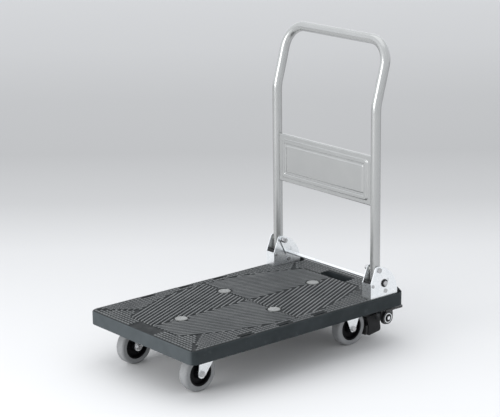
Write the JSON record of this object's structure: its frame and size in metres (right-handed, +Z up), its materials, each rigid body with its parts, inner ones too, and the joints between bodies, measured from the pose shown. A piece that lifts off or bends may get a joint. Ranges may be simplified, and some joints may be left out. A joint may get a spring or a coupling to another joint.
{
  "type": "folding platform cart",
  "caption": "Platform cart with a ribbed plastic deck, fold-down tube handle, sprung release rod, swivel and rigid casters, and a pedal brake.",
  "frame": {"origin": "on the floor under the middle of the bounding box", "axes": "+X towards the handle end, +Y across the deck, +Z up"},
  "size_m": [0.755, 0.45, 0.854],
  "materials": {
    "deck_plastic": "textured dark grey polypropylene",
    "disc_plastic": "plain light grey",
    "handle_paint": "light silver-grey powder coat",
    "zinc_sheet": "bright zinc plate",
    "zinc_fastener": "zinc plate",
    "steel_sleeve": "turned",
    "spring_steel": "zinc plate",
    "brass": "turned",
    "black_plastic": "moulded",
    "hub_plastic": "moulded",
    "nylon": "natural nylon",
    "black_paint": "black powder coat",
    "pad_rubber": "moulded",
    "tyre_rubber": "grey elastic rubber"
  },
  "bodies": {
    "deck": {"deck": "deck_plastic", "deck_discs": "disc_plastic", "caster_inserts": "brass", "caster_bolts": "zinc_fastener", "swivel_plate_left": "zinc_sheet", "swivel_plate_right": "zinc_sheet", "kingpins": "zinc_fastener", "thrust_rings": "nylon", "rigid_fork_left": "zinc_sheet", "rigid_fork_right": "zinc_sheet", "rear_axles": "zinc_fastener", "rear_axle_nuts": "zinc_fastener", "rear_sleeves": "steel_sleeve", "hinge_bracket_left": "zinc_sheet", "hinge_bracket_right": "zinc_sheet", "bracket_bolts": "zinc_fastener", "bracket_nuts": "zinc_fastener", "pivot_bolts": "zinc_fastener", "pivot_nuts": "zinc_fastener", "handle_stops": "black_plastic", "stop_pins": "zinc_fastener", "tie_rivets": "zinc_fastener", "release_springs": "spring_steel", "brake_hanger_left": "black_paint", "brake_hanger_right": "black_paint", "hanger_bushes": "nylon", "hanger_screws": "zinc_fastener"},
    "handle": {"handle_tube": "handle_paint", "handle_panel": "handle_paint", "tube_end_plugs": "black_plastic", "pivot_bushes": "nylon"},
    "release": {"release_rod": "zinc_sheet", "rod_washers": "black_plastic", "rod_caps": "zinc_fastener", "release_arm_left": "zinc_sheet", "release_arm_right": "zinc_sheet"},
    "brake": {"brake_tube": "zinc_sheet", "brake_tube_plugs": "black_plastic", "brake_arm_left": "black_plastic", "brake_arm_right": "black_plastic", "brake_pad_left": "pad_rubber", "brake_pad_right": "pad_rubber", "brake_pedal": "black_paint"},
    "swivel_left": {"swivel_fork_left": "zinc_sheet", "front_axle_left": "zinc_fastener", "front_axle_nut_left": "zinc_fastener", "front_sleeve_left": "steel_sleeve"},
    "swivel_right": {"swivel_fork_right": "zinc_sheet", "front_axle_right": "zinc_fastener", "front_axle_nut_right": "zinc_fastener", "front_sleeve_right": "steel_sleeve"},
    "front_wheel_left": {"hub_front_left": "hub_plastic", "tyre_front_left": "tyre_rubber"},
    "front_wheel_right": {"hub_front_right": "hub_plastic", "tyre_front_right": "tyre_rubber"},
    "rear_wheel_left": {"hub_rear_left": "hub_plastic", "tyre_rear_left": "tyre_rubber"},
    "rear_wheel_right": {"hub_rear_right": "hub_plastic", "tyre_rear_right": "tyre_rubber"}
  },
  "joints": [
    {"name": "handle_fold", "type": "hinge", "parent": "deck", "child": "handle", "pos_m": [0.2715, 0, 0.222], "axis": [0, -1, 0], "range_deg": [0, 97]},
    {"name": "release_swing", "type": "hinge", "parent": "deck", "child": "release", "pos_m": [0.2715, 0, 0.222], "axis": [0, -1, 0], "range_deg": [0, 15], "stiffness_Nm_per_rad": 0.6, "springref_deg": -17.19},
    {"name": "brake_press", "type": "hinge", "parent": "deck", "child": "brake", "pos_m": [0.3345, 0, 0.0655], "axis": [0, 1, 0], "range_deg": [0, 8]},
    {"name": "swivel_turn_left", "type": "hinge", "parent": "deck", "child": "swivel_left", "pos_m": [-0.2645, 0.137, 0.1175], "axis": [0, 0, 1], "continuous": true},
    {"name": "swivel_turn_right", "type": "hinge", "parent": "deck", "child": "swivel_right", "pos_m": [-0.2645, -0.137, 0.1175], "axis": [0, 0, 1], "continuous": true},
    {"name": "front_wheel_spin_left", "type": "hinge", "parent": "swivel_left", "child": "front_wheel_left", "pos_m": [-0.2965, 0.137, 0.05], "axis": [0, 1, 0], "continuous": true},
    {"name": "front_wheel_spin_right", "type": "hinge", "parent": "swivel_right", "child": "front_wheel_right", "pos_m": [-0.2965, -0.137, 0.05], "axis": [0, 1, 0], "continuous": true},
    {"name": "rear_wheel_spin_left", "type": "hinge", "parent": "deck", "child": "rear_wheel_left", "pos_m": [0.2315, 0.137, 0.05], "axis": [0, 1, 0], "continuous": true},
    {"name": "rear_wheel_spin_right", "type": "hinge", "parent": "deck", "child": "rear_wheel_right", "pos_m": [0.2315, -0.137, 0.05], "axis": [0, 1, 0], "continuous": true}
  ]
}
